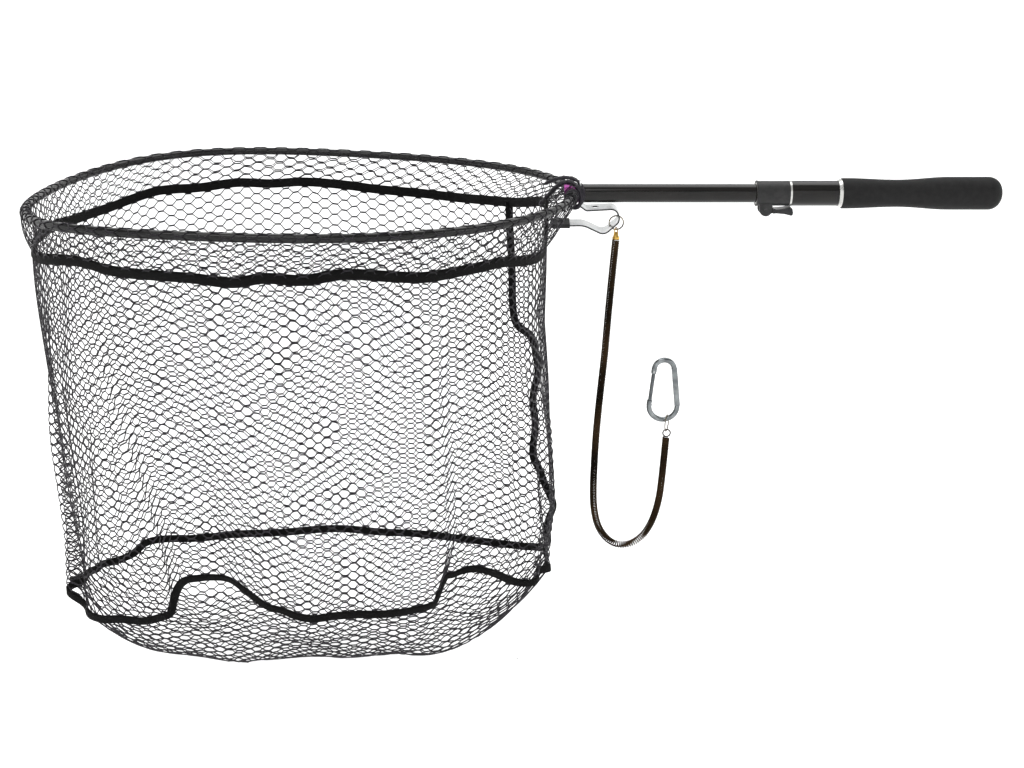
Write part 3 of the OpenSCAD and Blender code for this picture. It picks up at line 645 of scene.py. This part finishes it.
# Folds down the wall: u at the base, how far u drifts by the top, width in u, height in mm into
# the bag, and how far up the wall it runs from the base
FOLDS = [
    (0.1405, 0.004, 0.0045, 5, 0.42), (0.120, -0.010, 0.010, 8, 0.55), (0.352, 0.003, 0.0050, 5, 0.38),
    (0.318, 0.006, 0.011, 7, 0.5), (0.455, -0.006, 0.006, -9, 0.85), (0.480, -0.014, 0.006, -8, 0.8),
    (0.579, 0.010, 0.006, 9, 0.6), (0.545, 0.004, 0.008, -5, 0.5), (0.060, 0.012, 0.007, -7, 0.75),
    (0.030, 0.006, 0.006, -4, 0.6), (0.965, -0.014, 0.007, -4, 0.8), (0.905, -0.006, 0.008, 5, 0.6),
    (0.235, 0.004, 0.012, 5, 0.4), (0.74, 0.0, 0.012, 5, 0.4), (0.66, 0.004, 0.012, 6, 0.5)]


def fold_height(u, f):
    """The folds' height at u and f, which runs from 0 at the top tape to 1 at the base tape"""
    total = np.zeros(np.broadcast(u, f).shape)
    for at, drift, width, height, reach in FOLDS:
        gap = (u - at - drift * (1 - f) + 0.5) % 1 - 0.5
        ridge = np.exp(-(gap / width) ** 2) - 0.55 * np.exp(-((np.abs(gap) - 2.1 * width) / width) ** 2)
        run = np.clip((f - 1 + reach) / (0.6 * reach), 0, 1)
        total += height * ridge * run ** 2 * (3 - 2 * run)
    return total


def normals(grid):
    """Normals, which point into the bag, of a grid of points whose columns close round it"""
    along = np.roll(grid, -1, 1) - np.roll(grid, 1, 1)
    down = np.gradient(grid, axis=0)
    return unit(np.cross(down, along))


def wall_grid():
    """The wall's surface from the top tape to the base tape, with its folds and ripples"""
    count = ROWS * FINE + 1
    rows = []
    for f in np.linspace(0, 1, count):
        ring = outline(level_at(-COLLAR_DEPTH - (BAG_DEPTH - COLLAR_DEPTH) * f))
        z = top_z * (1 - f) + base_z * f
        rows.append(np.stack([ring[:, 0], ring[:, 1], z], -1))
    grid = np.array(rows)
    f = np.linspace(0, 1, count)[:, None]
    fade = np.sin(math.pi * np.clip(f, 0, 1)) ** 0.5
    height = fold_height(U[None], f) + RIPPLE_HEIGHT * ripple(U[None], f, 11) * fade
    # beside the hub the wall is smooth and stands a little out
    beside_hub = np.exp(-(FROM_HUB / 0.03) ** 2)[None] * np.exp(-(f / 0.25) ** 2)
    height = height * (1 - beside_hub) - 2.0 * beside_hub
    # a shift towards the back also goes down, so a fold keeps its height as seen from above the front
    shift = normals(grid) * [1, 1, 0] * height[..., None]
    shift[..., 2] = -(0.23 + 0.24 * f) * shift[..., 1]
    return grid + shift


def collar_grid():
    """The doubled band: up from the top tape outside the hoop, over it and down its inside to the tape"""
    half = np.minimum(U, 1 - U)
    ring = outline(np.array([0, HOOP_X0 - HOOP_LEN, HOOP_X0, HOOP_WIDTH, 0]))
    along = np.roll(ring, -1, 0) - np.roll(ring, 1, 0)
    inward = unit(np.stack([along[:, 1], -along[:, 0], np.zeros(GRID)], -1))
    y = np.abs(ring[:, 1])
    near_front = half > 0.25

    def blend(a, b, lo, hi):
        """a at the hub, changing to b between these distances from its middle"""
        t = np.clip((y - lo) / (hi - lo), 0, 1)
        return np.where(near_front, b, a + (b - a) * t * t * (3 - 2 * t))

    radius = blend(9.9, blend(6.9, HOOP_R + 0.5, 29, 36), 8, 13)
    start, end = math.radians(208), blend(math.radians(86), math.radians(-32), 8, 15)
    tape = np.stack([*outline(level_at(-COLLAR_DEPTH)).T[:2], top_z], -1)

    def round_tube(angle):
        """Points round the hoop at an angle from its inner side"""
        return ring + radius[:, None] * (np.cos(angle)[:, None] * inward
                                         + np.sin(angle)[:, None] * UP)

    outer_foot, inner_foot = tape - 0.3 * inward, tape + 0.3 * inward
    first, last = round_tube(np.full(GRID, start)), round_tube(end)
    path = [outer_foot + (first - outer_foot) * t - 2.5 * math.sin(math.pi * t) * inward
            for t in np.linspace(0, 1, 9)[:-1]]
    path += [round_tube(start + (end - start) * t) for t in np.linspace(0, 1, 17)]
    path += [last + (inner_foot - last) * t + 2.0 * math.sin(math.pi * t) * inward
             for t in np.linspace(0, 1, 9)[1:]]
    path = np.array(path)
    s = np.concatenate([np.zeros((1, GRID)), np.cumsum(np.linalg.norm(np.diff(path, axis=0), axis=2), 0)])
    places = np.linspace(0, 1, COLLAR_ROWS * COLLAR_FINE + 1)
    grid = np.empty((len(places), GRID, 3))
    for j in range(GRID):
        for k in range(3):
            grid[:, j, k] = np.interp(places * s[-1, j], s[:, j], path[:, j, k])
    return grid


def sample(grid, u, v):
    """Points of a grid at column u, which closes, and row v, both in grid steps"""
    rows, cols = grid.shape[:2]
    i0 = np.floor(u).astype(int)
    j0 = np.clip(np.floor(v).astype(int), 0, rows - 2)
    du, dv = (u - i0)[..., None], np.clip(v - j0, -0.3, 1.3)[..., None]
    a, b = i0 % cols, (i0 + 1) % cols
    return ((grid[j0, a] * (1 - du) + grid[j0, b] * du) * (1 - dv)
            + (grid[j0 + 1, a] * (1 - du) + grid[j0 + 1, b] * du) * dv)


STRAND_R, COLLAR_STRAND_R = 0.60, 0.47
SIDES = 6
# Half a link's length in columns, and half the gap between the two strands in it, in rows
LINK_HALF, TWIN = 0.26, 0.032


def link_centres(rows, seed):
    """How far each link is off its even place, in columns and in rows, and how far it tilts"""
    local = np.random.default_rng(seed)
    shape = (2 * rows + 1, COLS)
    return local.normal(0, 0.028, shape), local.normal(0, 0.030, shape), local.normal(0, 0.022, shape)


def strand_path(k, sign, jitter):
    """Column and row of a zigzag strand that meets its neighbours in a link at each column"""
    shift_u, shift_v, tilt = jitter
    column = np.arange(COLS)
    v2 = np.where(column % 2 == 0, 2 * k, 2 * k + sign)
    twin = np.where(column % 2 == 0, sign, -sign) * TWIN
    cu, cv = column + shift_u[v2, column], v2 / 2 + shift_v[v2, column]
    slope = tilt[v2, column]
    nu, nv = np.roll(cu, -1) + np.where(column == COLS - 1, COLS, 0), np.roll(cv, -1)
    n_slope, n_twin = np.roll(slope, -1), np.roll(twin, -1)
    end_u, end_v = cu + LINK_HALF, cv + twin + slope
    next_u, next_v = nu - LINK_HALF, nv + n_twin - n_slope
    across, down = next_u - end_u, next_v - end_v
    u = np.stack([cu - LINK_HALF, end_u, end_u + across * 0.34, end_u + across * 0.66], -1)
    v = np.stack([cv + twin - slope, end_v, end_v + down * 0.31, end_v + down * 0.69], -1)
    return u.ravel(), v.ravel()


def net_panel(name, grid, row_fine, strands, jitter, radius=STRAND_R, bunching=0.15):
    """A band of netting from closed zigzag strands over a grid. Its columns bunch at the hub."""
    facing = normals(grid)
    parts = []
    for k, sign in strands:
        u, v = strand_path(k, sign, jitter)
        at = column_place(u, bunching)
        p = sample(grid, at, v * row_fine)
        n = unit(sample(facing, at, v * row_fine))
        parts.append(tube(p, n, radius, SIDES, closed=True))
    points, faces = joined(parts)
    return mesh_piece(name, points, faces, "head", netting)


def strands_between(first, last):
    """Strands whose zigzags lie between these rows"""
    out = []
    for k in range(first, last + 1):
        if k < last:
            out.append((k, 1))
        if k > first:
            out.append((k, -1))
    return out


wall = wall_grid()
wall_jitter = link_centres(ROWS, 5)
third = ROWS // 3
wall_upper = net_panel("net_wall_upper", wall, FINE, strands_between(0, third), wall_jitter)
wall_middle = net_panel("net_wall_middle", wall, FINE, strands_between(third, 2 * third), wall_jitter)
wall_lower = net_panel("net_wall_lower", wall, FINE, strands_between(2 * third, ROWS), wall_jitter)
collar = collar_grid()
collar_net = net_panel("net_collar_mesh", collar, COLLAR_FINE, strands_between(0, COLLAR_ROWS),
                       link_centres(COLLAR_ROWS, 9), radius=COLLAR_STRAND_R, bunching=0.9)
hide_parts("net_wall")
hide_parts("net_wall")
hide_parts("net_wall")
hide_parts("net_collar")


# ------------------------------------------------------------------ base panel

base_ring = wall[-1]
BASE_MID = np.array([(LEVELS[-1, 1] + LEVELS[-1, 2]) / 2, 0.0])
ring_angle = np.unwrap(np.arctan2(base_ring[:, 1], base_ring[:, 0] - BASE_MID[0]))
ring_order = np.argsort(np.mod(ring_angle, TAU))
ring_theta = np.mod(ring_angle, TAU)[ring_order]
ring_reach = np.linalg.norm(base_ring[:, :2] - BASE_MID, axis=1)[ring_order]
ring_z = base_ring[:, 2][ring_order]
calm_reach = smoothed(ring_reach, 240)
RIM_Z = -BAG_DEPTH - 4


def base_point(x, y):
    """Height of the sagging base at a place, and how far out it is, as a share of the way to the tape"""
    theta = np.mod(np.arctan2(y, x - BASE_MID[0]), TAU)
    reach = np.interp(theta, ring_theta, ring_reach, period=TAU)
    edge = np.interp(theta, ring_theta, ring_z, period=TAU)
    share = np.hypot(x - BASE_MID[0], y) / reach
    # the wall's narrow folds show in the base only close to its edge
    calm = share * reach / np.interp(theta, ring_theta, calm_reach, period=TAU)
    near_edge = np.clip(share, 0, 1) ** 12
    s = np.clip(np.clip(share, 0, 1) * near_edge + calm * (1 - near_edge), 0, 1)
    rim = RIM_Z + (edge - RIM_Z) * s ** 9
    # the sag is fuller towards the front
    fullness = 5.1 - (x - BASE_MID[0]) / 220
    waves = (3.0 * np.sin(x / 31 + 0.6) * np.sin(y / 24) + 2.4 * np.sin(x / 17 + y / 29)
             + 2.0 * np.cos(y / 15 + x / 43))
    return rim - BASE_SAG * (1 - s ** fullness) + waves * (1 - s ** 4), share


# A mesh of the base along x and across it in mm, grid steps to a mesh, and the meshes each way
PANEL_X, PANEL_Y, PANEL_FINE = 10.2, 10.4, 4
PANEL_COLS, PANEL_ROWS = 54, 34


def panel_grid():
    """The base's surface, in even steps along x and along its own curve across the bag"""
    xs = (np.arange(PANEL_COLS * PANEL_FINE + 1) / PANEL_FINE - PANEL_COLS / 2) * PANEL_X + BASE_MID[0]
    half_width = 190
    ys = np.arange(-half_width, half_width + 1, 1.0)
    steps = (np.arange(PANEL_ROWS * PANEL_FINE + 1) / PANEL_FINE - PANEL_ROWS / 2) * PANEL_Y
    grid = np.empty((len(steps), len(xs), 4))
    for i, x in enumerate(xs):
        z, share = base_point(np.full(len(ys), x), ys)
        s = lengths_along(np.stack([ys, z], -1))
        s -= s[len(ys) // 2]
        grid[:, i, 0] = x
        for k, values in ((1, ys), (2, z), (3, share)):
            grid[:, i, k] = np.interp(steps, s, values)
    return grid


def panel_sample(grid, u, v):
    """Values of the base's grid at column u and row v, both in grid steps"""
    i = np.clip(np.floor(u).astype(int), 0, grid.shape[1] - 2)
    j = np.clip(np.floor(v).astype(int), 0, grid.shape[0] - 2)
    du, dv = (u - i)[:, None], (v - j)[:, None]
    return ((grid[j, i] * (1 - du) + grid[j, i + 1] * du) * (1 - dv)
            + (grid[j + 1, i] * (1 - du) + grid[j + 1, i + 1] * du) * dv)


def base_panel():
    """The base's netting, each zigzag strand cut off where it meets the base tape"""
    grid = panel_grid()
    local = np.random.default_rng(21)
    shift = local.normal(0, 0.03, (2 * PANEL_ROWS + 2, PANEL_COLS, 2))
    column = np.arange(1, PANEL_COLS - 2)
    parts = []
    for k in range(1, PANEL_ROWS - 1):
        for sign in (1, -1):
            here = 2 * k + np.where(column % 2 == 0, 0, sign)
            there = 2 * k + np.where(column % 2 == 0, sign, 0)
            twin = np.where(column % 2 == 0, sign, -sign) * TWIN
            cu, cv = column + shift[here, column, 0], here / 2 + shift[here, column, 1]
            nu, nv = column + 1 + shift[there, column + 1, 0], there / 2 + shift[there, column + 1, 1]
            u0, v0, u1, v1 = cu + LINK_HALF, cv + twin, nu - LINK_HALF, nv - twin
            u = np.stack([cu - LINK_HALF, u0, u0 + (u1 - u0) / 3, u0 + (u1 - u0) * 2 / 3], -1).ravel()
            v = np.stack([cv + twin, v0, v0 + (v1 - v0) / 3, v0 + (v1 - v0) * 2 / 3], -1).ravel()
            line = panel_sample(grid, u * PANEL_FINE, v * PANEL_FINE)
            inside = line[:, 3] < 1
            edges = np.flatnonzero(np.diff(np.concatenate([[0], inside.astype(int), [0]])))
            for a, b in zip(edges[::2], edges[1::2]):
                piece = line[a:b, :3]
                for end, outer, inner in ((0, a - 1, a), (1, b, b - 1)):
                    if 0 <= outer < len(line):
                        t = (1 - line[inner, 3]) / (line[outer, 3] - line[inner, 3])
                        point = line[inner, :3] + t * (line[outer, :3] - line[inner, :3])
                        piece = np.vstack([piece, point]) if end else np.vstack([point, piece])
                if len(piece) > 2:
                    parts.append(tube(piece, UP, STRAND_R, SIDES))
    points, faces = joined(parts)
    piece = mesh_piece("net_base_mesh", points, faces, "head", netting)
    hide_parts("net_base")
    return piece


base_net = base_panel()


# ------------------------------------------------------------------ tapes

# Width and thickness of each tape
TOP_TAPE, BASE_TAPE, SEAM_TAPE = (10.4, 3.0), (8.8, 2.8), (8.8, 2.0)


def tape(name, line, facing, width, thick, closed, replaced):
    """Folded binding tape along a line, its broad faces across facing, with thin rounded edges"""
    ahead, behind = neighbours(line, closed)
    along = unit(ahead - behind)
    across = unit(np.cross(along, facing))
    out = np.cross(across, along)
    w, t = width / 2, thick / 2
    section = np.array([(-w, 0), (-w + 0.25, 0.72 * t), (-w + 0.9, t), (-0.5 * w, 0.92 * t), (0, 1.02 * t),
                        (0.5 * w, 0.92 * t), (w - 0.9, t), (w - 0.25, 0.72 * t), (w, 0),
                        (w - 0.25, -0.72 * t), (w - 0.9, -t), (0, -t), (-w + 0.9, -t),
                        (-w + 0.25, -0.72 * t)])
    points = (line[:, None] + across[:, None] * section[None, :, :1] + out[:, None] * section[None, :, 1:])
    uv = np.stack([np.repeat(lengths_along(line), len(section)), np.tile(section[:, 0], len(line))], -1)
    faces = rings_to_faces(len(line), len(section), closed)
    piece = mesh_piece(name, points.reshape(-1, 3), faces, "head", binding_tape, uv)
    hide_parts(replaced)
    return piece


def fine_ring(ring, facing):
    """A closed ring and its facing, with a point of a smooth curve added between each two"""
    n = len(ring)
    at = np.arange(n * 2) / 2
    i = np.floor(at).astype(int)
    t = (at - i)[:, None]
    line = catmull_rom(*(ring[(i + k) % n] for k in (-1, 0, 1, 2)), t)
    return line, unit(facing[i % n] * (1 - t) + facing[(i + 1) % n] * t)


wall_facing = normals(wall)
top_line, top_facing = fine_ring(smoothed(wall[0], 3), smoothed(wall_facing[0], 12))
top_tape = tape("top_tape_band", top_line, top_facing, *TOP_TAPE, True, "top_tape")
base_line, base_facing = fine_ring(smoothed(wall[-1], 3), smoothed(wall_facing[-2], 12))
base_tape = tape("base_tape_band", base_line, base_facing, *BASE_TAPE, True, "base_tape")

# The vertical seam: (u, share of the way down the wall)
SEAM = [
    (0.916, 0.0), (0.9165, 0.06), (0.9175, 0.14), (0.9175, 0.21), (0.918, 0.29), (0.9225, 0.345),
    (0.943, 0.378), (0.949, 0.43), (0.9505, 0.475), (0.940, 0.56), (0.941, 0.625), (0.934, 0.72),
    (0.944, 0.775), (0.958, 0.85), (0.972, 0.90), (0.977, 0.94), (0.968, 0.975), (0.958, 1.0)]
seam_places = smooth_curve(SEAM, 12)
seam_line = sample(wall, seam_places[:, 0] * GRID, seam_places[:, 1] * ROWS * FINE)
seam_facing = unit(sample(wall_facing, seam_places[:, 0] * GRID, seam_places[:, 1] * ROWS * FINE))
seam_tape = tape("seam_tape_band", seam_line, unit(0.35 * seam_facing + [0, 1, 0]), *SEAM_TAPE,
                 False, "seam_tape")


def gather_cords():
    """The netting's ends drawn together in two dark rolls that cross over the hub and go round it"""
    lines = ([(-428, 30, -17), (-424, 24, -12), (-418, 18, -4), (-412, 13, 3.5), (-405, 8, 9.0),
              (-397, 1, 10.8), (-390.5, -7, 6.5), (-387.5, -12, -1.5), (-389, -13, -9), (-395, -11, -14)],
             [(-424, 27, 4), (-415, 21, 9.5), (-406, 14, 13.2), (-397, 6, 14.2), (-389.5, -2, 11.4),
              (-385.4, -8, 4), (-385.6, -11, -4), (-389, -10, -11)])
    parts = []
    for line, radius in zip(lines, (2.3, 1.9)):
        path = smooth_curve(line, 10)
        s = lengths_along(path)
        lumps = 1 + 0.10 * np.sin(s / 1.9) + 0.08 * np.sin(s / 0.83 + 1)
        ends = np.clip(np.minimum(s, s[-1] - s) / 4, 0.15, 1) ** 0.5
        parts.append(tube(path, UP, radius * lumps * ends, 12))
    points, faces = joined(parts)
    piece = mesh_piece("net_gather", points, faces, "head", netting)
    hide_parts("net_collar")
    return piece


gather = gather_cords()


# ------------------------------------------------------------------ hoop and grip

def hoop_piece():
    """The hoop's round tube, from one of the hub's sleeves round to the other"""
    sleeve = math.radians(8.6)
    a = np.linspace(sleeve, TAU - sleeve, 600)
    half = np.minimum(a, TAU - a)
    side = np.where(a <= math.pi, -1, 1)
    x = HOOP_X0 - HOOP_LEN * (1 - np.cos(half)) / 2
    y = side * side_shape(half) * HOOP_WIDTH / 2
    line = np.stack([x, y, arch(half)], -1)
    line = np.vstack([[HOOP_X0, -7, 0], line, [HOOP_X0, 7, 0]])
    points, faces = tube(line, UP, HOOP_R, 28)
    piece = mesh_piece("hoop_tube_round", points, faces, "head", hoop_black)
    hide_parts("hoop_tube")


hoop_piece()

GRIP_X0, GRIP_X1, GRIP_R, WAIST_R, FRONT_R = -128.0, 32.0, 16.3, 13.5, 15.1
# The bore for the tube, and the radius past which the foam's skin is uneven
GRIP_BORE, SKIN_R = 12.54, 13.2


def ease(f):
    """From 0 to 1 with a soft start and end"""
    return (1 - math.cos(math.pi * f)) / 2


def grip_piece():
    """The foam grip: a lathed profile with the slight unevenness of ground foam"""
    front_round, butt_round = 1.2, 13
    taper_x, waist_x, bulge_x, butt_x = GRIP_X0 + 4, GRIP_X0 + 56, -19, GRIP_X1 - butt_round
    quarter = math.pi / 2
    profile = [(GRIP_X0, GRIP_BORE), (GRIP_X0, 13.0)]
    profile += [(GRIP_X0 + front_round - front_round * math.cos(t),
                 FRONT_R - front_round + front_round * math.sin(t)) for t in np.linspace(0, quarter, 7)]
    profile += [(taper_x + (waist_x - taper_x) * f, FRONT_R + (WAIST_R - FRONT_R) * ease(f))
                for f in np.linspace(0.02, 1, 40)]
    profile += [(waist_x + (bulge_x - waist_x) * f, WAIST_R + (GRIP_R - WAIST_R) * ease(f))
                for f in np.linspace(0.02, 1, 45)]
    profile += [(x, GRIP_R) for x in np.linspace(bulge_x + 1, butt_x - 0.5, 24)]
    profile += [(butt_x + butt_round * math.sin(t), GRIP_R - butt_round + butt_round * math.cos(t))
                for t in np.linspace(0, quarter, 22)]
    profile += [(GRIP_X1, 1.6), (GRIP_X1, 0.01)]
    points, faces = lathe(profile, 112)
    local = np.random.default_rng(31)
    radial = points * [0, 1, 1]
    size = np.linalg.norm(radial, axis=1, keepdims=True)
    bumps = local.normal(0, 0.022, (len(points), 1)) * (size > SKIN_R)
    points = points + radial / np.maximum(size, 1e-6) * bumps
    piece = mesh_piece("grip_foam_body", points, faces, "grip_section", grip_foam)
    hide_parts("grip")


grip_piece()


# ------------------------------------------------------------------ floor

def floor_piece():
    """A pale floor that curves up into a low round wall, in metres"""
    flat_r, curve_r, wall_top, floor_z, steps = 2.3, 0.9, 2.4, -0.52, 72
    mesh = bpy.data.meshes.new("floor")
    curve = [(flat_r + curve_r * math.sin(t), curve_r - curve_r * math.cos(t))
             for t in np.linspace(0.1, math.pi / 2, 15)]
    profile = [(0.001, 0), (flat_r, 0), *curve, (flat_r + curve_r, wall_top)]
    points = [(r * math.cos(a) + middle[0], r * math.sin(a), z + floor_z)
              for r, z in profile for a in TAU * np.arange(steps) / steps]
    faces = rings_to_faces(len(profile), steps, False)
    mesh.from_pydata(points, [], faces.tolist())
    mesh.polygons.foreach_set("use_smooth", np.ones(len(faces), bool))
    material, tree, shader = new_material("floor")
    stops = [(0.3, (0.88, 0.88, 0.88)), (0.7, (0.91, 0.91, 0.91))]
    tree.links.new(ramp(tree, noise(tree, 3.0), stops), shader.inputs["Base Color"])
    shader.inputs["Emission Color"].default_value = (1, 1, 1, 1)
    shader.inputs["Roughness"].default_value = 0.9
    shader.inputs["Specular IOR Level"].default_value = 0.1
    shader.inputs["Emission Strength"].default_value = 0.36
    mesh.materials.append(material)
    floor = bpy.data.objects.new("floor", mesh)
    scene.collection.objects.link(floor)


floor_piece()
